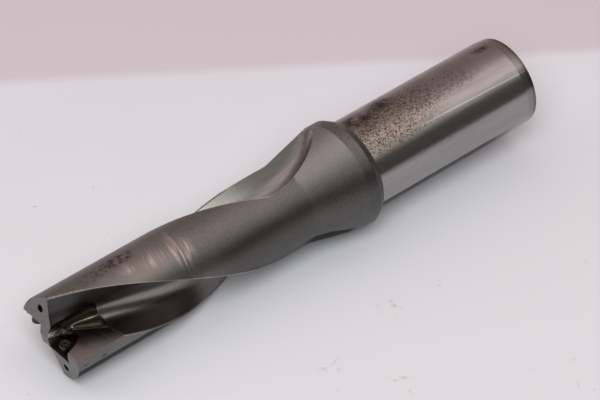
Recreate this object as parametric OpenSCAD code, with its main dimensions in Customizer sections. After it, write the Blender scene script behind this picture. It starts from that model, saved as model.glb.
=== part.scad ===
// Indexable drill: steel body with two helical flutes, a conical collar and a cylindrical shank,
// and two empty insert pockets at the tip with their clamping screws left in.
// The tool axis is Z, the origin is the centre of the shank's rear face and the tip points to +Z.

/* [Shank] */
// Diameter of the cylindrical shank, mm
shank_d = 25; // [16:0.5:40]
// Length of the shank from its rear face to the collar's stop face, mm
shank_len = 54; // [40:0.5:70]
// Axial length of the chamfer at the shank's rear edge, mm
shank_chamfer_len = 3; // [0.5:0.1:4]
// Radial depth of the chamfer at the shank's rear edge, mm
shank_chamfer_depth = 0.3; // [0.2:0.1:2]
// Diameter of the coolant inlet bore in the shank's rear face, mm
inlet_d = 8.6; // [5:0.1:12]
// Depth of the coolant inlet bore, mm
inlet_depth = 32; // [15:1:45]

/* [Collar] */
// Largest diameter of the collar, mm
collar_d = 29.5; // [27:0.5:44]
// Radial width of the flat stop face next to the shank, mm
stop_face_w = 1; // [0.5:0.1:2]
// Axial length of the collar's rear chamfer, mm
collar_chamfer_len = 2.1; // [0.5:0.1:4]
// Length of the collar's cylindrical rim, mm
collar_rim_len = 3.1; // [1:0.1:8]
// Length of the cone from the collar down to the drill body, mm
cone_len = 15.5; // [8:0.5:30]

/* [Drill body] */
// Diameter of the fluted body, mm
body_d = 22.5; // [20:0.5:26]
// Length of the fluted body from the cone to the tip, mm
body_len = 75.8; // [60:0.1:120]
// Chamfer at the outer edge of the end faces, mm
end_chamfer = 0.4; // [0.2:0.1:1.5]
// Relief angle of the end faces behind the cutting edges, degrees
end_relief = 10; // [4:0.5:14]

/* [Flutes] */
// Opening of a flute at the body's diameter, degrees around the tool axis
flute_opening = 71; // [60:1:80]
// Angle between the two walls of a flute at the tip, degrees
flute_angle_tip = 84; // [76:1:90]
// Angle between the two walls of a flute behind the tip, degrees
flute_angle_rear = 72; // [71:1:90]
// Radius of the rounded flute floor at the tip, mm
flute_floor_tip = 2.8; // [2:0.1:3.5]
// Radius of the rounded flute floor behind the tip, mm
flute_floor_rear = 4.5; // [3:0.1:5]
// Length from the tip over which the flute section changes, mm
flute_blend_len = 28; // [15:1:40]
// Lead of the flutes, the length in which they would turn once around the tool, mm
flute_lead_len = 163.64; // [120:0.01:400]
// Length of the twisted part of the flutes from the tip, mm
flute_twist_len = 66.5; // [40:0.5:100]
// Length over which the twist dies away before the run-out, mm
flute_ease_len = 12; // [4:1:20]
// Radius on which the flutes run out of the body, mm
runout_r = 29; // [15:0.5:60]
// Direction in which the flutes run out, degrees from the flute's middle
runout_turn = 28; // [0:1:35]
// Middle of the first flute at the tip, degrees
flute_start = 253; // [240:0.5:266]
// Longest step along the twisted part of a flute, mm
flute_step = 1.6; // [1:0.1:4]

/* [Chip spaces at the tip] */
// Height of the central pocket's chip face over the middle plane, mm
central_face_h = 1; // [0.5:0.05:1.5]
// Height of the peripheral pocket's chip face over the middle plane, mm
peripheral_face_h = 0.3; // [0:0.05:1.5]
// Length of the flat chip faces along the outside, mm
chip_face_len = 15; // [12:0.5:18]
// Radius of the ball-ended scoop beside the central pocket at the tip, mm
scoop_r = 2.6; // [2:0.1:3]
// Radius of the scoop's ball end, mm
scoop_rear_r = 2.7; // [2:0.1:3.4]
// Length of the scoop from the tip to the centre of its ball end, mm
scoop_len = 11.6; // [6:0.1:14]
// Radius of the groove beside the central pocket at its narrow end, mm
groove_r = 0.4; // [0.3:0.1:1]
// Radius of the groove beside the central pocket at its wide end, mm
groove_rear_r = 1.7; // [1:0.1:2.2]

/* [Insert pockets] */
// Inscribed circle of the trigon inserts that fit the pockets, mm
insert_ic = 6.35; // [5.5:0.05:6.5]
// Nose radius of the inserts that fit the pockets, mm
insert_nose = 0.8; // [0.4:0.1:1.2]
// Depth of the central pocket's floor behind the middle plane, mm
central_depth = 2.9; // [2.3:0.05:3]
// Depth of the peripheral pocket's floor behind the middle plane, mm
peripheral_depth = 2.35; // [2.2:0.05:2.7]
// Distance of the central pocket's middle from the tool axis, mm
central_offset = 3.2; // [2.8:0.05:4]
// Distance of the peripheral pocket's middle from the tool axis, mm
peripheral_offset = 7.8; // [7.5:0.05:8.2]
// Distance of the pockets' middles below the tip, mm
pocket_back = 2; // [1.5:0.05:3]
// Diameter of the relief holes in the pocket corners, mm
corner_relief_d = 1.2; // [0.8:0.1:1.6]

/* [Insert screws] */
// Thread diameter of the insert screws, mm
screw_d = 2.2; // [2:0.1:2.5]
// Head diameter of the insert screws, mm
screw_head_d = 3; // [2.8:0.1:3.6]
// Height of the cylindrical rim of the screw heads, mm
screw_rim = 0.5; // [0.2:0.1:0.8]
// Height of the screw head's top over the pocket floor, mm
screw_stand = 2.7; // [2:0.1:3.2]
// Depth of the screw's thread in the body, mm
screw_grip = 2.2; // [1.5:0.1:2.4]
// Distance of the screws behind the pockets' middles, mm
screw_back = 0.5; // [0.4:0.05:0.8]
// Cone angle of the screw heads, degrees
screw_cone = 50; // [40:5:90]
// Depth of the star socket in a screw head, mm
socket_depth = 0.9; // [0.5:0.1:1.2]

/* [Coolant outlets] */
// Diameter of the coolant outlets in the end faces, mm
outlet_d = 2; // [1:0.1:3]
// Distance of the coolant outlets from the tool axis, mm
outlet_offset = 8.1; // [7.5:0.1:9]
// Direction of the coolant outlet in the central insert's land, degrees
outlet_angle = 126; // [120:1:140]
// Depth of the coolant outlets, mm
outlet_depth = 26; // [10:1:30]

/* [Hidden] */
$fn = 96;
over = 1;
shank_r = shank_d / 2;
collar_r = collar_d / 2;
body_r = body_d / 2;
stop_face_r = shank_r + stop_face_w;
rim_start = shank_len + collar_chamfer_len;
rim_end = rim_start + collar_rim_len;
cone_end = rim_end + cone_len;
tip = cone_end + body_len;
wall_steps = 6;
flute_margin = 4;
flute_reach = collar_r + flute_margin;
flute_twist = 360 / flute_lead_len;
floor_steps = 12;
runout_steps = 14;
runout_lift = 13.5;
runout_angle = acos(1 - runout_lift / runout_r);
twist_steps = ceil((flute_twist_len + over) / flute_step);
nose_steps = 6;
corner_centre = (insert_ic / 2 - insert_nose) / sin(40);
pocket_open = 3;
head_cone_len = (screw_head_d - screw_d) / 2 / tan(screw_cone / 2);
socket_core_d = 1.3;
socket_lobe_d = 0.5;
scoop_side = 0.5;
scoop_floor = 0.05;
scoop_slant = [-1.1, -0.7];
groove_start = [-0.9, -1.4, -6.2];
groove_end = [-3.8, -1.4, -12.5];
peripheral_wall = 3.7;
face_turn = [-6, 13];
face_inner = [-1.5, 8];
steel = [0.45, 0.44, 0.42];
screw_steel = [0.25, 0.24, 0.23];

// Value between its size at the tip and its size behind the tip, by the distance back from the tip.
function blended(at_tip, at_rear, back) = at_tip + (at_rear - at_tip) * min(max(back, 0) / flute_blend_len, 1);

// Outline of a flute in its own plane: rounded floor first, then one wall out and the other back.
function flute_outline(half, floor_r) =
    let (apex = body_r * (cos(flute_opening / 2) - sin(flute_opening / 2) / tan(half)))
    let (centre = apex + floor_r / sin(half), foot = centre - floor_r * sin(half))
    let (marks = [for (i = [1 : wall_steps]) foot + (flute_reach - foot) * i / wall_steps])
    concat(
        [for (i = [0 : floor_steps])
            let (a = 90 + half + i * (180 - 2 * half) / floor_steps)
            [centre + floor_r * cos(a), floor_r * sin(a)]],
        [for (u = marks) [u, -(u - apex) * tan(half)]],
        [for (k = [wall_steps - 1 : -1 : 0]) [marks[k], (marks[k] - apex) * tan(half)]]);

// One flute section at a distance back from the tip, turned and lifted outwards.
function flute_section(back, turn, lift) = [
    for (p = flute_outline(
            blended(flute_angle_tip, flute_angle_rear, back) / 2,
            blended(flute_floor_tip, flute_floor_rear, back)))
        let (x = p[0] + lift * cos(runout_turn), y = p[1] + lift * sin(runout_turn))
        [x * cos(turn) - y * sin(turn), x * sin(turn) + y * cos(turn), tip - back]];

// Turn of the flutes at a distance back from the tip; the twist dies away around the start of the run-out.
function flute_turn(back) =
    let (late = min(max(back - flute_twist_len + flute_ease_len / 2, 0), flute_ease_len))
    -flute_twist * (min(back, flute_twist_len + flute_ease_len / 2) - late * late / (2 * flute_ease_len));

// Section stations from above the tip along the twist and through the run-out.
function flute_stations() = concat(
    [for (i = [0 : twist_steps])
        let (back = -over + i * (flute_twist_len + over) / twist_steps)
        flute_section(back, flute_turn(back), 0)],
    [for (i = [1 : runout_steps])
        let (a = i * runout_angle / runout_steps, back = flute_twist_len + runout_r * sin(a))
        flute_section(back, flute_turn(back), runout_r * (1 - cos(a)))]);

module flute_cut() {
    stations = flute_stations();
    n = len(stations[0]);
    last = len(stations) - 1;
    points = [for (s = stations) for (p = s) p];
    sides = [for (k = [0 : last - 1]) for (i = [0 : n - 1])
        let (a = k * n + i, b = k * n + (i + 1) % n) each [[a, b, b + n], [a, b + n, a + n]]];
    caps = [[for (i = [n - 1 : -1 : 0]) i], [for (i = [0 : n - 1]) last * n + i]];
    rotate([0, 0, flute_start]) polyhedron(points = points, faces = concat(sides, caps), convexity = 10);
}

module body_blank() {
    rotate_extrude() polygon([
        [0, 0], [shank_r - shank_chamfer_depth, 0], [shank_r, shank_chamfer_len], [shank_r, shank_len],
        [stop_face_r, shank_len], [collar_r, rim_start], [collar_r, rim_end], [body_r, cone_end],
        [body_r, tip - end_chamfer], [body_r - end_chamfer, tip], [0, tip]]);
}

// Slopes the end face of the land behind the central pocket away from its cutting edge.
module end_relief_cut() {
    translate([0, -central_face_h, tip]) rotate([-end_relief, 0, 0])
        translate([-2 * body_r, 0, 0]) cube([4 * body_r, 2 * body_r, body_r]);
}

// Flat chip face over the central pocket; its inner border slants outwards along the flute.
module central_chip_face() {
    far = 2 * body_r;
    translate([0, -central_face_h, tip]) rotate([90, 0, 0]) linear_extrude(height = far) polygon([
        [-far, 2 * over], [face_inner[0], 2 * over], [face_inner[0], -face_inner[1]], [face_turn[0], -face_turn[1]],
        [-body_r, -chip_face_len], [-far, -chip_face_len]]);
}

// Flat chip face over the peripheral pocket, from a wall beside the tool axis out past the body.
module peripheral_chip_face() {
    translate([peripheral_wall, peripheral_face_h, tip - chip_face_len])
        cube([2 * body_r, 2 * body_r, chip_face_len + 2 * over]);
}

// Round slot with a ball at its start, as a ball cutter leaves it, which may narrow towards its end.
module ball_slot(r_from, r_to, from, to) {
    way = to - from;
    reach = norm(way);
    translate(from) rotate([0, acos(way[2] / reach), atan2(way[1], way[0])]) rotate_extrude() {
        intersection() {
            circle(r = r_from);
            translate([0, -2 * r_from]) square([2 * r_from, 2 * r_from]);
        }
        polygon([[0, 0], [r_from, 0], [r_to, reach], [0, reach]]);
    }
}

// Scoop that lets the chips of the central insert into its flute.
module scoop() {
    x = scoop_side - scoop_r;
    y = scoop_floor - central_face_h - scoop_r;
    ball_slot(scoop_rear_r, scoop_r, [x + scoop_slant[0], y + scoop_slant[1], tip - scoop_len], [x, y, tip + 2 * over]);
}

// Slanted groove that leaves a thin wall beside the central pocket.
module groove() {
    ball_slot(groove_rear_r, groove_r, groove_end + [0, 0, tip], groove_start + [0, 0, tip]);
}

// Trigon outline with rounded noses; the blunt corner of one side points to +Y.
function trigon(ic, nose) = [
    for (k = [0 : 2])
        let (dir = 30 + 120 * k, far = (ic / 2 - nose) / sin(40))
        each concat(
            [for (i = [0 : nose_steps])
                let (a = dir - 50 + 100 * i / nose_steps)
                [far * cos(dir) + nose * cos(a), far * sin(dir) + nose * sin(a)]],
            [[ic / 2 / sin(80) * cos(dir + 60), ic / 2 / sin(80) * sin(dir + 60)]])];

// Places things on the central pocket's floor: outline in X and Z, floor facing -Y.
module at_central() {
    translate([-central_offset, central_depth, tip - pocket_back]) rotate([90, 0, 0]) children();
}

// Places things on the peripheral pocket's floor: outline in X and Z, floor facing +Y.
module at_peripheral() {
    translate([peripheral_offset, -peripheral_depth, tip - pocket_back]) rotate([90, 0, 180]) children();
}

module pocket() {
    height = central_depth + pocket_open;
    linear_extrude(height = height) polygon(trigon(insert_ic, insert_nose));
    rotate([0, 0, 270]) translate([corner_centre + insert_nose / 2, 0, 0]) cylinder(d = corner_relief_d, h = height);
    translate([0, -screw_back, -screw_grip]) cylinder(d = screw_d, h = screw_grip + over);
}

module insert_screw() {
    neck_top = screw_stand - screw_rim - head_cone_len;
    translate([0, -screw_back, 0]) difference() {
        rotate_extrude() polygon([
            [0, -screw_grip], [screw_d / 2, -screw_grip], [screw_d / 2, neck_top],
            [screw_head_d / 2, neck_top + head_cone_len], [screw_head_d / 2, screw_stand], [0, screw_stand]]);
        translate([0, 0, screw_stand - socket_depth]) linear_extrude(height = socket_depth + over) {
            circle(d = socket_core_d);
            for (i = [0 : 5]) rotate(60 * i) translate([socket_core_d / 2, 0]) circle(d = socket_lobe_d);
        }
    }
}

module drill_body() {
    color(steel) difference() {
        body_blank();
        flute_cut();
        rotate([0, 0, 180]) flute_cut();
        end_relief_cut();
        rotate([0, 0, 180]) end_relief_cut();
        central_chip_face();
        peripheral_chip_face();
        scoop();
        groove();
        at_central() pocket();
        at_peripheral() pocket();
        for (side = [0, 180])
            rotate([0, 0, outlet_angle + side]) translate([outlet_offset, 0, tip - outlet_depth])
                cylinder(d = outlet_d, h = outlet_depth + over);
        translate([0, 0, -over]) cylinder(d = inlet_d, h = inlet_depth + over);
    }
}

module central_insert_screw() {
    color(screw_steel) at_central() insert_screw();
}

module peripheral_insert_screw() {
    color(screw_steel) at_peripheral() insert_screw();
}

drill_body();
central_insert_screw();
peripheral_insert_screw();
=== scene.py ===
import math

import bmesh
import bpy
import numpy as np
from mathutils import Matrix, Vector
from mathutils.kdtree import KDTree


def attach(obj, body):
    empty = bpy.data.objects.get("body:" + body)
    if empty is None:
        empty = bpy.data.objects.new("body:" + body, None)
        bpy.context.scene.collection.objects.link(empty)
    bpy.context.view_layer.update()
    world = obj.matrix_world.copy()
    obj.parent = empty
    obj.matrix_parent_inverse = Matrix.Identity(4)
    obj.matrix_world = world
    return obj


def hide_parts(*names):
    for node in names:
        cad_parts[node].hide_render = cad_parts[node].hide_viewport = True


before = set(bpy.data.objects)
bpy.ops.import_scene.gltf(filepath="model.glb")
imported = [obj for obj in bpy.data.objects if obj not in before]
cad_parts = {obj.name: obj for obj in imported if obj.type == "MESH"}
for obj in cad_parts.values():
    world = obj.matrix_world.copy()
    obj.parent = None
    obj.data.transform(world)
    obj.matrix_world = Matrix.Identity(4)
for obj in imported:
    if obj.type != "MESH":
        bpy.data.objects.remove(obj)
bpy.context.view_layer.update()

# Millimetres in a metre and degrees in a radian.
MM, DEGREES = 1000.0, 180 / math.pi

# Sizes of the drill in millimetres and degrees, as the solids have them.
SHANK_R, SHANK_LEN, SHANK_CHAMFER, SHANK_CHAMFER_DEPTH = 12.5, 54.0, 3.0, 0.3
COLLAR_R, BODY_R, STOP_FACE_W, END_CHAMFER = 14.75, 11.25, 1.0, 0.4
RIM_START, RIM_END, CONE_END, TIP = 56.1, 59.2, 74.7, 150.5
FLUTE_START, FLUTE_HALF, FLUTE_TWIST, FLUTE_TWIST_LEN = 253.0, 35.5, 2.2, 66.5
# Coolant holes: zones a little larger than the holes, and the place of the outlets.
INLET_ZONE_R, INLET_ZONE_DEPTH = 4.5, 32.5
OUTLET_ZONE_R, OUTLET_ZONE_DEPTH = 1.1, 30.0
OUTLET_OFFSET, OUTLET_ANGLE = 8.1, 126.0
# Insert pockets: x and z of the middle, then the lowest and highest y.
POCKETS = {"central": (-3.2, 148.5, -1.02, 2.95), "peripheral": (7.8, 148.5, -2.4, 0.32)}
INSERT_R = 3.175
# Ball-ended cuts at the tip: centre and radius at the ball, then at the other end.
SCOOP = ((-3.2, -4.25, 138.9), 2.7, (-2.1, -3.55, 152.5), 2.6)
GROOVE = ((-3.8, -1.4, 138.0), 1.7, (-0.9, -1.4, 144.3), 0.4)
# Flat chip faces: their y and the way along y that they face.
CHIP_FACES = {"central": (-1.0, -1), "peripheral": (0.3, 1)}
# Distances from the tip within which the chip faces and the end faces lie.
CHIP_FACE_DEPTH, END_FACE_DEPTH = 15.1, 2.6

# Outline of the turned blank: radius and height of each corner.
PROFILE = [
    (SHANK_R - SHANK_CHAMFER_DEPTH, 0.0), (SHANK_R, SHANK_CHAMFER), (SHANK_R, SHANK_LEN),
    (SHANK_R + STOP_FACE_W, SHANK_LEN), (COLLAR_R, RIM_START), (COLLAR_R, RIM_END),
    (BODY_R, CONE_END), (BODY_R, TIP - END_CHAMFER), (BODY_R - END_CHAMFER, TIP),
]
# A face within this many millimetres of a curved or a flat surface belongs to it.
ON_SURFACE, ON_PLANE = 0.08, 0.02
# Least cosines at which a face looks roughly, nearly or exactly along a direction.
ROUGHLY, NEARLY, EXACTLY = 0.5, 0.9, 0.99
# Allowances in millimetres at the step of the stop face and for rounding.
STEP_MARGIN, ROUND_OFF = 0.01, 1e-4
# Widest angles between faces that are shaded as one surface.
BODY_SMOOTH, SCREW_SMOOTH, FLUTE_SMOOTH = 34, 30, 22
# Faces smaller than this many square metres take their normal from a neighbour.
SLIVER = 2e-8
# Reach of the smoothing along the flutes in millimetres, and how much shorter it is across them.
FLUTE_REACH, FLUTE_ACROSS = 4.0, 2.5
# Distances in metres within which vertices are welded and edges dissolved.
WELD, SHORTEST_EDGE = 2e-6, 1e-6

WHITE = (1.0, 1.0, 1.0, 1.0)
# Sheen of the strips along the underside, painted dark as shade so that they stay dark at grazing angles.
PAINTED_SHADE_SHEEN = (0.5, 0.5, 0.51, 1.0)
# Optical rounding of the body's edges in millimetres, and the samples that find it.
ROUNDING, EDGE_SAMPLES = 0.12, 6


class Nodes:
    """Small helper that adds shader nodes and links them in one line each."""

    def __init__(self, tree):
        self.tree = tree
        tree.nodes.clear()

    def add(self, kind, inputs=(), **settings):
        node = self.tree.nodes.new(kind)
        for name, value in settings.items():
            setattr(node, name, value)
        for key, value in dict(inputs).items():
            self.feed(node.inputs[key], value)
        return node

    def feed(self, socket, value):
        if isinstance(value, bpy.types.NodeSocket):
            self.tree.links.new(value, socket)
        else:
            socket.default_value = value

    def math(self, operation, a, b=0.0, clamp=False):
        return self.add("ShaderNodeMath", {0: a, 1: b}, operation=operation, use_clamp=clamp).outputs[0]

    def product(self, *values):
        result = values[0]
        for value in values[1:]:
            result = self.math("MULTIPLY", result, value)
        return result

    def length(self, a, b):
        """Length of a vector with two parts."""
        squares = self.math("ADD", self.math("POWER", a, 2.0), self.math("POWER", b, 2.0))
        return self.math("SQRT", squares)

    def dot(self, a, b):
        return self.add("ShaderNodeVectorMath", {0: a, 1: b}, operation="DOT_PRODUCT").outputs["Value"]

    def vector(self, x, y, z):
        return self.add("ShaderNodeCombineXYZ", {0: x, 1: y, 2: z}).outputs[0]

    def fade(self, value, start, end, low=0.0, high=1.0):
        """Smooth change from low to high while a value goes from start to end."""
        inputs = {0: value, 1: start, 2: end, 3: low, 4: high}
        return self.add("ShaderNodeMapRange", inputs, interpolation_type="SMOOTHSTEP").outputs[0]

    def stripe(self, value, middle, none, full):
        """Mask around one value: full within one distance of it, none beyond another."""
        return self.fade(self.math("ABSOLUTE", self.math("SUBTRACT", value, middle)), none, full)

    def noise(self, vector, scale, detail=3.0, rough=0.55):
        inputs = {"Vector": vector, "Scale": scale, "Detail": detail, "Roughness": rough}
        return self.add("ShaderNodeTexNoise", inputs).outputs["Fac"]

    def blend(self, factor, a, b):
        node = self.add("ShaderNodeMix", data_type="RGBA")
        for key, value in ((0, factor), (6, a), (7, b)):
            self.feed(node.inputs[key], value)
        return node.outputs[2]

    def mottle(self, noise, first, second, start=0.3, end=0.7):
        """Colour that goes from one to another with a noise."""
        return self.blend(self.fade(noise, start, end), (*first, 1.0), (*second, 1.0))

    def coats(self, colour, *rows):
        """Colour with coats laid over it: each row has a mask, a strength and a colour."""
        for mask, strength, coat in rows:
            colour = self.blend(self.product(mask, strength), colour, (*coat, 1.0))
        return colour

    def ramp(self, value, stops):
        node = self.add("ShaderNodeValToRGB", {0: value})
        ramp = node.color_ramp
        while len(ramp.elements) < len(stops):
            ramp.elements.new(1.0)
        for element, (position, colour) in zip(ramp.elements, stops):
            element.position = position
            element.color = (*colour, 1.0)
        return node.outputs[0]


class Place(Nodes):
    """Shader coordinates of the tool in millimetres and degrees."""

    def __init__(self, tree):
        super().__init__(tree)
        raw = self.add("ShaderNodeTexCoord").outputs["Object"]
        self.point = self.add("ShaderNodeVectorMath", {0: raw, 3: MM}, operation="SCALE").outputs[0]
        parts = self.add("ShaderNodeSeparateXYZ", {0: self.point}).outputs
        self.x, self.y, self.z = parts[0], parts[1], parts[2]
        self.turn = self.product(self.math("ARCTAN2", self.y, self.x), DEGREES)
        self.radius = self.length(self.x, self.y)
        self.back = self.math("SUBTRACT", TIP, self.z)
        turned = self.product(self.math("MINIMUM", self.back, FLUTE_TWIST_LEN), FLUTE_TWIST)
        from_middle = self.math("SUBTRACT", self.math("ADD", self.turn, turned), FLUTE_START)
        self.flute_turn = self.product(from_middle, 1 / DEGREES)

    def away(self, angle):
        """Degrees between this point and a direction around the axis, 0 to 180."""
        along_x = self.product(self.x, math.cos(math.radians(angle)))
        along_y = self.product(self.y, math.sin(math.radians(angle)))
        cosine = self.math("DIVIDE", self.math("ADD", along_x, along_y), self.radius)
        return self.product(self.math("ARCCOSINE", cosine), DEGREES)

    def around(self, angle, none, full):
        """Mask around a direction: full within one angle of it, none beyond another."""
        return self.fade(self.away(angle), none, full)

    def along(self, start, end, low=0.0, high=1.0):
        """Mask that changes from low to high between two heights."""
        return self.fade(self.z, start, end, low, high)

    def patch(self, angle, half_angle, z, half_z, soft=0.5):
        """Soft spot around a direction and a height."""
        a = self.math("DIVIDE", self.away(angle), half_angle)
        b = self.math("DIVIDE", self.math("SUBTRACT", self.z, z), half_z)
        return self.fade(self.length(a, b), 1.0, 1.0 - soft)

    def turned(self, across, along):
        """Coordinates for marks that run around the tool."""
        return self.vector(self.product(self.turn, across), self.product(self.radius, across),
                           self.product(self.z, along))

    def helical(self, across, along):
        """Coordinates for marks that run along the flutes."""
        side = self.math("SINE", self.flute_turn)
        out = self.math("COSINE", self.flute_turn)
        return self.vector(self.product(side, self.radius, across), self.product(out, self.radius, across),
                           self.product(self.z, along))

    def flute_side(self):
        """Millimetres from a flute's middle plane, positive towards the wall that faces backwards."""
        out = self.math("SIGN", self.math("COSINE", self.flute_turn))
        return self.product(self.math("SINE", self.flute_turn), self.radius, out)

    def land_edge(self, width):
        """Mask of the edges between flutes and outside, which fades over a width in millimetres."""
        twice = self.math("COSINE", self.product(self.flute_turn, 2.0))
        off = self.product(self.math("ARCCOSINE", twice), DEGREES / 2)
        off_edge = self.math("ABSOLUTE", self.math("SUBTRACT", off, FLUTE_HALF))
        near = self.fade(self.product(off_edge, BODY_R / DEGREES), width, 0.0)
        outside = self.fade(self.radius, BODY_R - 0.5, BODY_R - 0.2)
        fluted = self.fade(self.back, FLUTE_TWIST_LEN + 2, FLUTE_TWIST_LEN - 2)
        return self.product(near, outside, fluted)

    def off_cut(self, cut):
        """Millimetres that a point lies outside a ball-ended cut that runs along the tool."""
        (x0, y0, z0), start_r, (x1, y1, z1), end_r = cut
        share = self.math("DIVIDE", self.math("SUBTRACT", self.z, z0), z1 - z0)
        middle_x = self.math("ADD", self.product(share, x1 - x0), x0)
        middle_y = self.math("ADD", self.product(share, y1 - y0), y0)
        radius = self.math("ADD", self.product(share, end_r - start_r), start_r)
        off = self.length(self.math("SUBTRACT", self.x, middle_x), self.math("SUBTRACT", self.y, middle_y))
        return self.math("SUBTRACT", off, radius)

    def metal(self, colour, roughness, height, depth, rounding=ROUNDING, sheen=WHITE):
        """Metal with bumps of a depth in millimetres, optically rounded edges and a grazing sheen."""
        bump = self.add("ShaderNodeBump", {"Strength": 1.0, "Distance": depth / MM, "Height": height})
        if rounding:
            edge = self.add("ShaderNodeBevel", {"Radius": rounding / MM}, samples=EDGE_SAMPLES)
            self.feed(bump.inputs["Normal"], edge.outputs[0])
        shader = self.add("ShaderNodeBsdfPrincipled", {
            "Base Color": colour, "Roughness": roughness, "Metallic": 1.0, "Specular Tint": sheen,
            "Normal": bump.outputs[0]})
        self.add("ShaderNodeOutputMaterial", {"Surface": shader.outputs[0]})


def new_material(name):
    """Material and the helper that fills its node tree."""
    material = bpy.data.materials.new(name)
    material.use_nodes = True
    return material, Place(material.node_tree)


def shank_material():
    """Ground steel, stained brown and pitted on one side, with painted shade along the lower silhouette and
    in the crease by the collar.
    """
    material, n = new_material("ground_steel")
    grind = n.noise(n.turned(0.12, 9.0), 1.0, 4.0, 0.6)
    cloud = n.noise(n.point, 0.22, 4.0, 0.6)
    streak = n.noise(n.vector(n.x, n.y, n.product(n.z, 0.06)), 0.9, 4.0, 0.65)
    fine = n.noise(n.point, 1.9, 5.0, 0.8)
    ragged = n.noise(n.point, 0.8, 4.0, 0.7)
    streaked = n.fade(streak, 0.35, 0.7)
    upper_side = n.around(287, 42, 22)
    shaded_side = n.around(178, 44, 28)
    # Painted shade: a dark strip along the lower silhouette, with a darkened sheen.
    underside_painted_shade = n.product(n.around(150, 13.8, 12.2), n.along(4, 18))
    by_collar = n.product(n.around(256, 40, 18), n.along(22, 44))
    band = n.product(n.around(268, 28, 10), n.along(8, 20))
    stain = n.math("ADD", n.product(upper_side, 0.5), n.product(by_collar, 0.3))
    stain = n.math("MULTIPLY", stain, n.fade(cloud, 0.22, 0.7, 0.6, 1.15), clamp=True)
    speck_field = n.math("ADD", by_collar, n.product(band, 0.7), clamp=True)
    pit = n.product(n.fade(fine, 0.49, 0.56), n.fade(ragged, 0.34, 0.5), speck_field)
    blotch = n.math("ADD", n.patch(284, 20, 49, 7, 0.7), n.patch(288, 22, 40, 6, 0.8), clamp=True)
    blotch = n.math("ADD", blotch, n.patch(285, 9, 6.5, 3.5, 0.8))
    blotch = n.product(blotch, n.fade(cloud, 0.34, 0.6, 0.35, 1.0), n.fade(ragged, 0.36, 0.54, 0.4, 1.2))
    slanted_z = n.math("ADD", n.z, n.product(n.math("SUBTRACT", n.away(180), 14.0), 0.368))
    scratch = n.product(n.stripe(slanted_z, 42.4, 0.35, 0.1), n.around(199, 9, 6), n.fade(n.y, 0.0, -1.0))
    slanted_turn = n.math("SUBTRACT", n.math("ADD", n.turn, 360.0), n.product(n.z, 0.13))
    rub_and_highlight = n.product(n.stripe(slanted_turn, 228.2, 1.3, 0.4), n.along(46, 22))
    # Dark line at the step by the collar, rust plus painted shade in the crease, and a dark rear edge.
    seam_rust_and_shade = n.math("ADD", n.along(SHANK_LEN - 0.9, SHANK_LEN - 0.3), n.along(1.6, 0.2))
    chamfer = n.along(SHANK_CHAMFER, SHANK_CHAMFER - 0.3)
    colour = n.coats(
        n.mottle(grind, (0.42, 0.405, 0.395), (0.46, 0.447, 0.44)),
        (streaked, 0.35, (0.3, 0.272, 0.258)),
        (chamfer, 0.3, (0.15, 0.13, 0.115)),
        (stain, 1.0, (0.24, 0.19, 0.165)),
        (shaded_side, 0.3, (0.13, 0.128, 0.128)),
        (underside_painted_shade, 0.75, (0.06, 0.06, 0.062)),
        (by_collar, 0.35, (0.5, 0.4, 0.335)),
        (blotch, 0.9, (0.045, 0.033, 0.031)),
        (pit, 0.9, (0.06, 0.042, 0.034)),
        (scratch, 0.4, (0.2, 0.18, 0.17)),
        (rub_and_highlight, 0.7, (0.78, 0.74, 0.7)),
        (seam_rust_and_shade, 0.6, (0.06, 0.048, 0.042)),
    )
    rough = n.math("ADD", n.fade(grind, 0.25, 0.75, 0.15, 0.2), n.product(stain, 0.18))
    rough = n.math("ADD", rough, n.product(streaked, 0.07))
    rough = n.math("ADD", rough, n.product(pit, 0.25))
    height = n.math("SUBTRACT", n.product(grind, 0.12), pit)
    n.metal(colour, rough, height, 0.012, sheen=n.blend(underside_painted_shade, WHITE, PAINTED_SHADE_SHEEN))
    return material


def shank_end_material():
    """Turned rear face with fine circular marks."""
    material, n = new_material("turned_face")
    rings = n.noise(n.vector(n.product(n.radius, 5.0), 0.0, n.z), 1.0, 3.0, 0.6)
    cloud = n.noise(n.point, 0.3, 3.0)
    colour = n.mottle(cloud, (0.3, 0.285, 0.275), (0.4, 0.385, 0.375))
    n.metal(colour, n.fade(rings, 0.3, 0.7, 0.26, 0.38), rings, 0.01)
    return material


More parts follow.
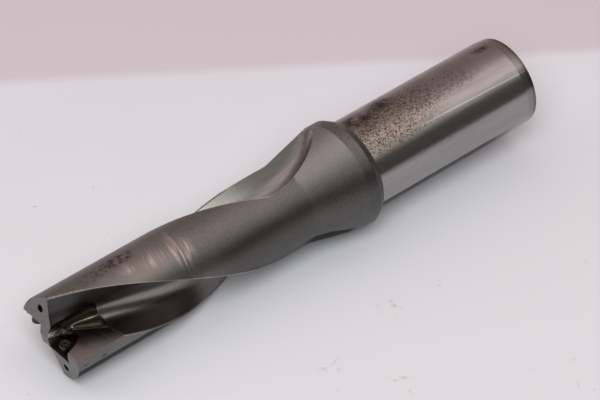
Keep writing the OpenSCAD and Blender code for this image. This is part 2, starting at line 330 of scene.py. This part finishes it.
def satin_material():
    """Satin blasted steel of the collar and the body's outside, with scuffs and worn places, painted shade
    low down and behind the rim, and a painted highlight and glints.
    """
    material, n = new_material("satin_steel")
    grain = n.noise(n.point, 1.9, 3.0, 0.65)
    cloud = n.noise(n.point, 0.16, 4.0, 0.6)
    slanted_z = n.math("ADD", n.product(n.z, 2.4), n.product(n.turn, 0.06))
    lines = n.noise(n.vector(n.product(n.turn, 0.02), n.product(n.radius, 0.05), slanted_z), 1.0, 3.0, 0.65)
    on_body = n.along(CONE_END - 0.2, CONE_END + 0.2)
    on_rim = n.along(RIM_END + 0.15, RIM_END - 0.15)
    on_cone = n.math("SUBTRACT", 1.0, n.math("ADD", on_body, on_rim), clamp=True)
    # Painted shade on the collar's rear faces, which face the shank.
    behind_rim_painted_shade = n.along(RIM_START + 0.1, RIM_START - 0.1)
    # Painted highlight on the cone's upper side.
    cone_painted_highlight = n.product(on_cone, n.around(258, 60, 20))
    # Painted shade along the lower side, from the collar to the middle of the body.
    oil_and_shade = n.product(n.around(181, 46, 30), n.along(116, 98))
    lower_side = n.around(164, 36, 28)
    # Painted shade: a dark wedge on the cone and a fainter dark strip on the lower side beyond it.
    heel_width = n.math("ADD", n.along(62, 72, 22.0, 32.0), n.along(86, 98, 0.0, 14.0))
    heel_edge = n.fade(n.math("SUBTRACT", n.away(130), heel_width), 0.7, -0.7)
    heel_painted_shade = n.product(heel_edge, n.along(61, 64), n.along(79, 75, 0.3, 1.0), n.along(104, 98), lower_side)
    # Painted shade along the lower land near the tip.
    lower_land_painted_shade = n.product(n.around(165, 50, 40), n.along(112, 122))
    # Painted shade: a dark strip along the lower silhouette towards the tip, with a darkened sheen.
    underside_painted_shade = n.product(n.around(130, 34.8, 33.4), n.along(102, 108), lower_side)
    worn = n.product(n.along(106, 122), n.around(258, 46, 14), n.along(140, 124))
    scuffed = n.math("ADD", n.patch(252, 42, 112.5, 4.2, 0.6), n.patch(258, 22, 119, 6, 0.7), clamp=True)
    scuffed = n.math("ADD", scuffed, n.patch(262, 12, 127, 4, 0.7), clamp=True)
    scuff = n.product(scuffed, n.fade(lines, 0.46, 0.62))
    dirty = n.math("ADD", n.patch(283, 15, 128, 8, 0.6), n.product(n.patch(278, 14, 136, 6, 0.6), 0.6))
    dirt = n.product(dirty, n.fade(n.noise(n.point, 0.75, 4.0, 0.7), 0.42, 0.6))
    nicks = n.math("ADD", n.patch(170, 4, 142, 1.0, 0.7), n.patch(172, 3, 147.8, 0.7, 0.7), clamp=True)
    edge = n.product(n.land_edge(0.35), n.fade(cloud, 0.25, 0.6, 0.5, 1.0))
    # Painted glints on the worn land edges near the tip.
    sparse = n.fade(n.noise(n.point, 1.6, 2.0), 0.52, 0.6)
    painted_glint = n.product(n.land_edge(0.6), sparse, n.fade(n.back, 13, 9))
    colour = n.coats(
        n.mottle(grain, (0.185, 0.181, 0.17), (0.325, 0.318, 0.302)),
        (on_body, 0.45, (0.19, 0.18, 0.169)),
        (behind_rim_painted_shade, 0.65, (0.07, 0.068, 0.062)),
        (n.fade(cloud, 0.4, 0.75), 0.25, (0.33, 0.3, 0.285)),
        (on_rim, 0.3, (0.1, 0.092, 0.086)),
        (cone_painted_highlight, 0.5, (0.42, 0.405, 0.39)),
        (oil_and_shade, 0.62, (0.055, 0.056, 0.054)),
        (heel_painted_shade, 0.75, (0.03, 0.03, 0.029)),
        (lower_land_painted_shade, 0.28, (0.06, 0.06, 0.058)),
        (underside_painted_shade, 0.7, (0.03, 0.03, 0.029)),
        (worn, 0.5, (0.37, 0.318, 0.3)),
        (scuff, 0.62, (0.66, 0.57, 0.54)),
        (dirt, 0.8, (0.045, 0.035, 0.031)),
        (nicks, 0.75, (0.03, 0.03, 0.029)),
        (edge, 0.75, (0.66, 0.64, 0.61)),
        (painted_glint, 1.0, (0.95, 0.92, 0.87)),
    )
    rough = n.math("SUBTRACT", n.fade(grain, 0.2, 0.8, 0.4, 0.48), n.product(worn, 0.08))
    rough = n.math("SUBTRACT", rough, n.product(scuff, 0.14))
    height = n.math("ADD", n.product(grain, 0.5), n.product(lines, 0.15))
    # The painted shade strips also get a sheen painted dark.
    painted_dark_sheen = n.math("ADD", underside_painted_shade, heel_painted_shade, clamp=True)
    n.metal(colour, rough, height, 0.04, rounding=0.14, sheen=n.blend(painted_dark_sheen, WHITE, PAINTED_SHADE_SHEEN))
    return material


def flute_material():
    """Flutes with faint marks along their length, brown and stained with oil towards the tip, with painted
    shade and a painted highlight on their walls.
    """
    material, n = new_material("polished_flute")
    marks = n.noise(n.helical(1.5, 0.05), 1.0, 3.0, 0.5)
    cloud = n.noise(n.point, 0.3, 3.0, 0.55)
    near_tip = n.fade(n.back, 34, 8)
    side = n.flute_side()
    x_away = n.math("ABSOLUTE", n.x)
    y_away = n.math("ABSOLUTE", n.y)
    # Painted shade on the lower and upper walls, on the end wall and in a corner at the tip, and in the
    # run-out; a painted highlight on the upper wall further back.
    lower_wall_painted_shade = n.product(n.fade(side, -1.0, -3.2), n.fade(n.back, 62, 40))
    upper_wall_painted_shade = n.product(n.fade(side, 1.6, 3.4), n.fade(n.back, 40, 22))
    end_wall_painted_shade = n.product(n.fade(side, 1.6, 3.4), n.fade(n.back, 14, 9))
    in_corner = n.product(n.fade(y_away, 7.8, 6.6), n.fade(x_away, 3.0, 2.0))
    end_corner_painted_shade = n.product(in_corner, n.fade(n.back, 13, 10))
    wall_painted_highlight = n.product(n.fade(side, 3.4, 5.0), n.fade(n.back, 71, 61), n.fade(n.back, 40, 52))
    runout_painted_shade = n.product(n.fade(side, 3.7, 4.7), n.fade(n.back, 68, 73))
    # Oil stains towards the tip.
    oil_and_shade = n.product(near_tip, n.fade(cloud, 0.5, 0.75))
    edge = n.land_edge(0.3)
    bright_edge = n.product(edge, n.fade(n.back, 48, 42))
    dark_edge = n.product(edge, n.fade(n.back, 46, 54))
    colour = n.coats(
        n.mottle(marks, (0.25, 0.238, 0.225), (0.31, 0.296, 0.28)),
        (wall_painted_highlight, 0.85, (0.72, 0.71, 0.67)),
        (runout_painted_shade, 0.35, (0.09, 0.08, 0.077)),
        (near_tip, 0.7, (0.27, 0.225, 0.18)),
        (lower_wall_painted_shade, 0.75, (0.06, 0.05, 0.044)),
        (upper_wall_painted_shade, 0.6, (0.07, 0.06, 0.053)),
        (end_wall_painted_shade, 0.8, (0.06, 0.06, 0.064)),
        (end_corner_painted_shade, 0.75, (0.03, 0.027, 0.024)),
        (oil_and_shade, 0.25, (0.05, 0.042, 0.036)),
        (bright_edge, 0.5, (0.6, 0.58, 0.55)),
        (dark_edge, 0.85, (0.06, 0.05, 0.046)),
    )
    n.metal(colour, n.fade(marks, 0.25, 0.75, 0.27, 0.33), marks, 0.004)
    return material


def scoop_material():
    """Dark scoop beside the pocket, worn bright where it meets the groove."""
    material, n = new_material("dark_scoop")
    marks = n.noise(n.vector(n.x, n.y, n.product(n.z, 0.15)), 1.6, 3.0, 0.5)
    outer_end = n.product(n.fade(n.y, -5.0, -6.4), n.fade(n.back, 8, 10))
    ridge = n.product(n.fade(n.off_cut(GROOVE), 0.4, 0.1), n.fade(n.back, 5, 7), n.fade(n.x, -2.9, -2.5))
    colour = n.coats(
        n.mottle(marks, (0.045, 0.039, 0.033), (0.08, 0.07, 0.058)),
        (outer_end, 0.7, (0.16, 0.135, 0.115)),
        (ridge, 1.0, (0.85, 0.79, 0.64)),
    )
    n.metal(colour, n.fade(marks, 0.3, 0.7, 0.3, 0.38), marks, 0.004)
    return material


def groove_material():
    """Brown groove with a worn bright edge towards the scoop."""
    material, n = new_material("brown_groove")
    marks = n.noise(n.point, 1.3, 3.0, 0.6)
    ridge = n.fade(n.off_cut(SCOOP), 0.8, 0.4)
    colour = n.coats(
        n.mottle(marks, (0.1, 0.08, 0.06), (0.16, 0.13, 0.1)),
        (ridge, 1.0, (0.85, 0.79, 0.64)),
    )
    n.metal(colour, n.fade(marks, 0.3, 0.7, 0.36, 0.44), marks, 0.006)
    return material


def chip_face_material():
    """Smooth chip faces over the pockets, darker inwards and lighter towards the outside and the tip."""
    material, n = new_material("chip_face_steel")
    marks = n.noise(n.vector(n.product(n.x, 0.25), n.y, n.z), 0.9, 3.0, 0.5)
    outward = n.math("SUBTRACT", n.math("ABSOLUTE", n.x), n.product(n.back, 0.42))
    uneven = n.math("ADD", outward, n.product(marks, 1.6))
    rub_and_highlight = n.product(n.fade(n.off_cut(GROOVE), 0.6, 0.3), n.fade(n.y, 0.0, -0.5))
    colour = n.coats(
        n.mottle(uneven, (0.06, 0.046, 0.04), (0.36, 0.325, 0.305), 2.2, 9.0),
        (rub_and_highlight, 0.85, (0.75, 0.62, 0.55)),
    )
    n.metal(colour, n.fade(marks, 0.3, 0.7, 0.3, 0.36), marks, 0.004)
    return material


def end_face_material():
    """Satin end faces around the coolant outlets."""
    material, n = new_material("end_face_steel")
    grain = n.noise(n.point, 2.4, 4.0, 0.65)
    cloud = n.noise(n.point, 0.5, 3.0, 0.6)
    colour = n.coats(
        n.mottle(grain, (0.19, 0.179, 0.172), (0.25, 0.236, 0.228)),
        (n.fade(cloud, 0.5, 0.8), 0.5, (0.13, 0.118, 0.11)),
    )
    n.metal(colour, n.fade(grain, 0.2, 0.8, 0.38, 0.48), grain, 0.015, rounding=0.16)
    return material


def pocket_material():
    """Dark brown insert pockets, their darkness partly painted shade; the top of the inner pocket's wall
    has a painted highlight with glints.
    """
    material, n = new_material("pocket_steel")
    cloud = n.noise(n.point, 0.7, 4.0, 0.65)
    grain = n.noise(n.point, 3.0, 3.0, 0.6)
    # Painted highlight along the top of the inner pocket's wall.
    rub_and_highlight = n.product(n.fade(n.y, 0.15, -0.35), n.fade(n.x, -2.4, -1.6), n.fade(n.x, 1.8, 1.4))
    painted_glint = n.product(rub_and_highlight, n.fade(n.noise(n.point, 2.2, 2.0), 0.55, 0.65))
    # The dark brown base is partly painted shade.
    colour = n.coats(
        n.mottle(cloud, (0.055, 0.046, 0.038), (0.13, 0.102, 0.08), 0.35, 0.65),
        (rub_and_highlight, 0.8, (0.6, 0.53, 0.46)),
        (painted_glint, 1.0, (0.95, 0.92, 0.85)),
    )
    n.metal(colour, n.fade(grain, 0.3, 0.7, 0.36, 0.48), grain, 0.008, rounding=0.1)
    return material


def bore_material():
    """Dark drilled holes."""
    material, n = new_material("drilled_bore")
    lines = n.noise(n.turned(0.02, 2.5), 1.0, 3.0)
    colour = n.mottle(lines, (0.07, 0.063, 0.058), (0.12, 0.11, 0.1))
    n.metal(colour, n.fade(lines, 0.3, 0.7, 0.4, 0.55), lines, 0.02, rounding=0.0)
    return material


def screw_material():
    """Dark screws with paler clouds."""
    material, n = new_material("dark_screw")
    grain = n.noise(n.point, 4.0, 3.0, 0.6)
    cloud = n.noise(n.point, 1.1, 3.0, 0.6)
    colour = n.coats(
        n.mottle(grain, (0.055, 0.052, 0.051), (0.085, 0.081, 0.08)),
        (n.fade(cloud, 0.45, 0.7), 0.5, (0.13, 0.125, 0.122)),
    )
    n.metal(colour, n.fade(grain, 0.3, 0.7, 0.32, 0.42), grain, 0.01, rounding=0.08)
    return material


# The materials of the body by zone, in the order of its material slots.
MAKERS = {
    "shank": shank_material, "shank_end": shank_end_material, "satin": satin_material,
    "flute": flute_material, "scoop": scoop_material, "groove": groove_material,
    "chip_face": chip_face_material, "end_face": end_face_material, "pocket": pocket_material,
    "bore": bore_material,
}
ZONES = list(MAKERS)

# Trigon outline of the inserts: direction of its first side, corner angle, and margins in millimetres.
TRIGON_TURN, TRIGON_SIDES, TRIGON_CORNER = -10, 6, 40
SIDE_MARGIN, CORNER_MARGIN = 0.85, 0.4


def trigon_inside(x, z):
    """True where a point lies in the trigon outline of the inserts, a little enlarged."""
    for k in range(TRIGON_SIDES):
        direction = math.radians(TRIGON_TURN + 360 / TRIGON_SIDES * k)
        if x * math.cos(direction) + z * math.sin(direction) > INSERT_R + SIDE_MARGIN:
            return False
    return math.hypot(x, z) < INSERT_R / math.sin(math.radians(TRIGON_CORNER)) + CORNER_MARGIN


def blank_radius(z):
    """Radius of the turned blank at a height, without the step at the stop face."""
    corners = [(r, h) for r, h in PROFILE if h != SHANK_LEN or r == SHANK_R]
    return float(np.interp(z, [h for r, h in corners], [r for r, h in corners]))


def cut_gap(point, cut):
    """Distance of a point from the surface of a ball-ended cut."""
    start, start_r, end, end_r = cut
    way = Vector(end) - Vector(start)
    offset = Vector(point) - Vector(start)
    share = min(max(offset.dot(way) / way.length_squared, 0.0), 1.0)
    return abs((offset - way * share).length - (start_r + (end_r - start_r) * share))


def in_bore(x, y, z):
    """True where a point lies on the wall or the floor of the coolant inlet or an outlet."""
    if z < INLET_ZONE_DEPTH and math.hypot(x, y) < INLET_ZONE_R:
        return True
    for side in (0, 180):
        angle = math.radians(OUTLET_ANGLE + side)
        off = math.hypot(x - OUTLET_OFFSET * math.cos(angle), y - OUTLET_OFFSET * math.sin(angle))
        if off < OUTLET_ZONE_R and z > TIP - OUTLET_ZONE_DEPTH:
            return True
    return False


def zone_of(centre, normal):
    """Names the part of the body that a face belongs to, from its place in millimetres."""
    x, y, z = centre
    r = math.hypot(x, y)
    if in_bore(x, y, z):
        return "bore"
    if z < SHANK_LEN - STEP_MARGIN:
        return "shank_end" if normal[2] < -NEARLY else "shank"
    faces_out = normal[0] * x + normal[1] * y > ROUGHLY * r
    if z < RIM_START or (r > blank_radius(z) - ON_SURFACE and faces_out):
        return "satin"
    if normal[2] > NEARLY and z > TIP - END_FACE_DEPTH:
        return "end_face"
    for height, way in CHIP_FACES.values():
        if abs(y - height) < ON_PLANE and normal[1] * way > EXACTLY and z > TIP - CHIP_FACE_DEPTH:
            return "chip_face"
    for zone, cut in (("scoop", SCOOP), ("groove", GROOVE)):
        if cut_gap(centre, cut) < ON_SURFACE:
            return zone
    for px, pz, low, high in POCKETS.values():
        if low < y < high and trigon_inside(x - px, z - pz):
            return "pocket"
    return "flute"


def blank_normal(centre, corner):
    """Exact normal of the turned blank at a corner of one of its faces, or None away from it."""
    r = math.hypot(centre[0], centre[1])
    for (r0, z0), (r1, z1) in zip(PROFILE, PROFILE[1:]):
        if z1 == z0 or not z0 - ROUND_OFF <= centre[2] <= z1 + ROUND_OFF:
            continue
        if abs(r - (r0 + (r1 - r0) * (centre[2] - z0) / (z1 - z0))) < ON_SURFACE:
            way = Vector((corner[0], corner[1], 0)).normalized()
            return (way * (z1 - z0) + Vector((0, 0, r0 - r1))).normalized()
    return None


def soft_normals(mesh, limit_angle):
    """Corner normals averaged by area within an angle; slivers follow their largest neighbour."""
    limit = math.cos(math.radians(limit_angle))
    around = [[] for vertex in mesh.vertices]
    for polygon in mesh.polygons:
        for vertex in polygon.vertices:
            around[vertex].append(polygon)
    normals = []
    for polygon in mesh.polygons:
        own = polygon.normal
        if polygon.area < SLIVER:
            touching = [other for vertex in polygon.vertices for other in around[vertex]]
            alike = [other for other in touching if other.normal.dot(own) > ROUGHLY]
            own = max(alike or touching, key=lambda other: other.area).normal
        for vertex in polygon.vertices:
            total = own * polygon.area
            for other in around[vertex]:
                if other.normal.dot(own) > limit:
                    total = total + other.normal * other.area
            normals.append(tuple(total.normalized()))
    return normals


def unwound(vector, z, way=1):
    """Vector turned to where it would be on straight flutes, or back again with way -1."""
    turn = math.radians(FLUTE_TWIST * min(TIP - z, FLUTE_TWIST_LEN))
    return Matrix.Rotation(way * turn, 3, "Z") @ vector


def flute_place(point):
    """Place of a point beside straight flutes, stretched across them."""
    place = unwound(point, point.z)
    return place.x * FLUTE_ACROSS, place.y * FLUTE_ACROSS, place.z


def smooth_flutes(mesh, normals):
    """Averages the normals of the flutes along their twist, over a few millimetres."""
    limit = math.cos(math.radians(FLUTE_SMOOTH))
    faces = [polygon for polygon in mesh.polygons if polygon.material_index == ZONES.index("flute")]
    tree = KDTree(len(faces))
    straight = []
    for index, polygon in enumerate(faces):
        centre = polygon.center * MM
        tree.insert(flute_place(centre), index)
        straight.append(unwound(polygon.normal, centre.z))
    tree.balance()
    for polygon, own in zip(faces, straight):
        for loop in polygon.loop_indices:
            corner = mesh.vertices[mesh.loops[loop].vertex_index].co * MM
            total = own * polygon.area
            for _, index, distance in tree.find_range(flute_place(corner), FLUTE_REACH):
                if straight[index].dot(own) > limit:
                    total = total + straight[index] * faces[index].area * (1 - distance / FLUTE_REACH)
            normals[loop] = tuple(unwound(total.normalized(), corner.z, -1))


def smooth_copy(node, name, materials, smooth_angle):
    """Welded copy of a CAD node with smooth normals, which keeps the node's form."""
    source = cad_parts[node]
    mesh = source.data.copy()
    mesh.name = name
    work = bmesh.new()
    work.from_mesh(mesh)
    bmesh.ops.remove_doubles(work, verts=work.verts, dist=WELD)
    bmesh.ops.dissolve_degenerate(work, edges=work.edges, dist=SHORTEST_EDGE)
    work.to_mesh(mesh)
    work.free()
    mesh.materials.clear()
    for material in materials:
        mesh.materials.append(material)
    mesh.polygons.foreach_set("use_smooth", [True] * len(mesh.polygons))
    mesh.set_sharp_from_angle(angle=math.radians(smooth_angle))
    piece = bpy.data.objects.new(name, mesh)
    bpy.context.scene.collection.objects.link(piece)
    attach(piece, "root")
    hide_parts(node)
    return piece


def build_body():
    """Steel body with a material for each zone."""
    materials = [make() for make in MAKERS.values()]
    piece = smooth_copy("drill_body", "drill_body_skin", materials, BODY_SMOOTH)
    mesh = piece.data
    normals = soft_normals(mesh, BODY_SMOOTH)
    for polygon in mesh.polygons:
        centre = polygon.center * MM
        zone = zone_of(centre, polygon.normal)
        polygon.material_index = ZONES.index(zone)
        if zone in ("shank", "satin"):
            for loop in polygon.loop_indices:
                corner = mesh.vertices[mesh.loops[loop].vertex_index].co * MM
                exact = blank_normal(centre, corner)
                if exact is not None:
                    normals[loop] = tuple(exact)
    smooth_flutes(mesh, normals)
    mesh.normals_split_custom_set(normals)


def build_screws():
    """The two insert screws."""
    material = screw_material()
    for node in ("central_insert_screw", "peripheral_insert_screw"):
        piece = smooth_copy(node, node + "_skin", [material], SCREW_SMOOTH)


# The table lies just under the collar and the tip, on the side that faces away from the camera.
TABLE_GAP, TABLE_Z, TABLE_HALF = 0.07, 57.6, 1.5
TABLE_POINT = Vector((0.0, COLLAR_R + TABLE_GAP, TABLE_Z)) / MM
TABLE_NORMAL = Vector((0.0, -1.0, -0.0383)).normalized()
# The darker strip behind the table is painted on it, beyond a distance across in millimetres.
WALL_ACROSS = Vector((0.836, 0.0, -0.549))
WALL_START, WALL_SOFT = 31.0, 3.0
# Flakes of dirt on the table: place and reach in millimetres, and the share of the reach that is full.
CRUMBS = [
    (-39.9, 95.2, 5), (-34.3, 69.6, 5), (-56.4, 84.1, 6),
    (52.2, 115.9, 3), (-84.4, 51.7, 2), (-35.6, 54.2, 3),
]
CRUMB_CORE = 0.4


def table_material():
    """Pale table with specks and crumbs, which is clear from behind."""
    material, n = new_material("pale_table")
    across = n.dot(n.point, WALL_ACROSS)
    wall = n.fade(across, WALL_START - WALL_SOFT, WALL_START + WALL_SOFT)
    near_side = n.fade(across, 0, -30)
    cloud = n.noise(n.point, 0.02, 3.0)
    specked = n.fade(n.noise(n.point, 0.05, 2.0), 0.5, 0.6)
    specks = n.product(n.fade(n.noise(n.point, 0.28, 2.0), 0.71, 0.75), specked)
    flakes = n.fade(n.noise(n.point, 0.55, 3.0, 0.6), 0.57, 0.66)
    colour = n.coats(
        n.mottle(cloud, (0.735, 0.711, 0.74), (0.755, 0.729, 0.756)),
        (near_side, 1.0, (0.728, 0.721, 0.736)),
        (specks, 0.25, (0.4, 0.39, 0.37)),
    )
    for x, z, reach in CRUMBS:
        spot = n.length(n.math("SUBTRACT", n.x, x), n.math("SUBTRACT", n.z, z))
        crumb = n.product(n.fade(spot, reach, reach * CRUMB_CORE), flakes)
        colour = n.coats(colour, (crumb, 0.45, (0.45, 0.4, 0.36)))
    colour = n.coats(colour, (wall, 1.0, (0.66, 0.578, 0.61)))
    front = n.add("ShaderNodeBsdfDiffuse", {"Color": colour})
    behind = n.add("ShaderNodeBsdfTransparent")
    facing = n.add("ShaderNodeNewGeometry").outputs["Backfacing"]
    mixed = n.add("ShaderNodeMixShader", {0: facing, 1: front.outputs[0], 2: behind.outputs[0]})
    n.add("ShaderNodeOutputMaterial", {"Surface": mixed.outputs[0]})
    return material


def build_table():
    """Flat table that the drill lies on."""
    side = Vector((1, 0, 0)) * TABLE_HALF
    up = TABLE_NORMAL.cross(side)
    corners = [TABLE_POINT + side * a + up * b for a, b in ((-1, -1), (1, -1), (1, 1), (-1, 1))]
    mesh = bpy.data.meshes.new("table")
    mesh.from_pydata(corners, [], [(0, 1, 2, 3)])
    if mesh.polygons[0].normal.dot(TABLE_NORMAL) < 0:
        mesh.flip_normals()
    table = bpy.data.objects.new("table", mesh)
    bpy.context.scene.collection.objects.link(table)
    mesh.materials.append(table_material())


# Camera of the photograph: place, and where the picture's right and upper sides point.
CAMERA_PLACE = Vector((-500.64, -601.40, 493.17)) / MM
CAMERA_RIGHT = Vector((-0.64503, 0.0, -0.76416))
CAMERA_UP = Vector((0.51718, -0.73618, -0.43655))
CAMERA_LENS, CAMERA_SENSOR = 210.0, 36.0
CAMERA_NEAR, CAMERA_FAR = 0.05, 20.0


def build_camera():
    """Camera that sees the drill as the photograph does."""
    data = bpy.data.cameras.new("photo_camera")
    data.lens, data.sensor_width = CAMERA_LENS, CAMERA_SENSOR
    data.clip_start, data.clip_end = CAMERA_NEAR, CAMERA_FAR
    camera = bpy.data.objects.new("photo_camera", data)
    bpy.context.scene.collection.objects.link(camera)
    toward = CAMERA_RIGHT.cross(CAMERA_UP)
    turned = Matrix((CAMERA_RIGHT, CAMERA_UP, toward)).transposed().to_4x4()
    camera.matrix_world = Matrix.Translation(CAMERA_PLACE) @ turned
    bpy.context.scene.camera = camera


# Brightness of the room from the far side of the table (0) over the top to the camera's side (1).
ROOM = [
    (0.00, (0.38, 0.322, 0.318)), (0.20, (0.36, 0.312, 0.304)), (0.30, (0.46, 0.397, 0.386)),
    (0.37, (0.95, 0.82, 0.81)), (0.48, (1.08, 0.925, 0.907)), (0.515, (0.86, 0.84, 0.82)),
    (0.58, (0.66, 0.67, 0.63)), (0.65, (0.17, 0.17, 0.165)), (0.70, (0.12, 0.12, 0.118)),
    (1.00, (0.15, 0.145, 0.14)),
]
ROOM_FAR = Vector((0.764, 0.0, -0.645))
# Far to the right the room is dark; the mask runs between two sines of the angle to the right.
ROOM_RIGHT_DARK = (0.1, 0.095, 0.09, 1)
ROOM_RIGHT_START, ROOM_RIGHT_END = 0.76, 0.86
BACKDROP = (0.72, 0.70, 0.715, 1)


def build_world():
    """Room that the steel reflects, with a pale backdrop for the camera."""
    world = bpy.data.worlds.new("room")
    bpy.context.scene.world = world
    world.use_nodes = True
    n = Nodes(world.node_tree)
    way = n.add("ShaderNodeTexCoord").outputs["Generated"]
    angle = n.math("DIVIDE", n.math("ARCTAN2", n.dot(way, TABLE_NORMAL), n.dot(way, ROOM_FAR)), math.pi)
    to_right = n.fade(n.dot(way, CAMERA_RIGHT), ROOM_RIGHT_START, ROOM_RIGHT_END)
    room = n.blend(to_right, n.ramp(n.math("ABSOLUTE", angle), ROOM), ROOM_RIGHT_DARK)
    shown = n.add("ShaderNodeLightPath").outputs["Is Camera Ray"]
    colour = n.blend(shown, room, BACKDROP)
    background = n.add("ShaderNodeBackground", {"Color": colour, "Strength": 1.0})
    n.add("ShaderNodeOutputWorld", {"Surface": background.outputs[0]})


# Lamp: size and distance in metres, energy, colour, what it points at, and the way to it from there.
LAMP_SIZE, LAMP_DISTANCE, LAMP_ENERGY = 0.8, 1.2, 10.5
LAMP_COLOUR = (0.95, 0.99, 1.03)
LAMP_TARGET = Vector((0.0, 0.0, 75.0)) / MM
LAMP_WAY = (TABLE_NORMAL - ROOM_FAR * 0.8 - CAMERA_RIGHT * 0.05).normalized()


def build_lamp():
    """Soft lamp near the camera, which lights the table and keeps the tool's shadow pale."""
    data = bpy.data.lights.new("soft_lamp", "AREA")
    data.shape, data.size, data.energy = "DISK", LAMP_SIZE, LAMP_ENERGY
    data.color = LAMP_COLOUR
    lamp = bpy.data.objects.new("soft_lamp", data)
    lamp.visible_glossy = False
    bpy.context.scene.collection.objects.link(lamp)
    lamp.location = LAMP_TARGET + LAMP_WAY * LAMP_DISTANCE
    lamp.rotation_mode = "QUATERNION"
    lamp.rotation_quaternion = LAMP_WAY.to_track_quat("Z", "Y")


build_camera()
build_body()
build_screws()
build_table()
build_world()
build_lamp()
bpy.context.scene.view_settings.view_transform = "Standard"
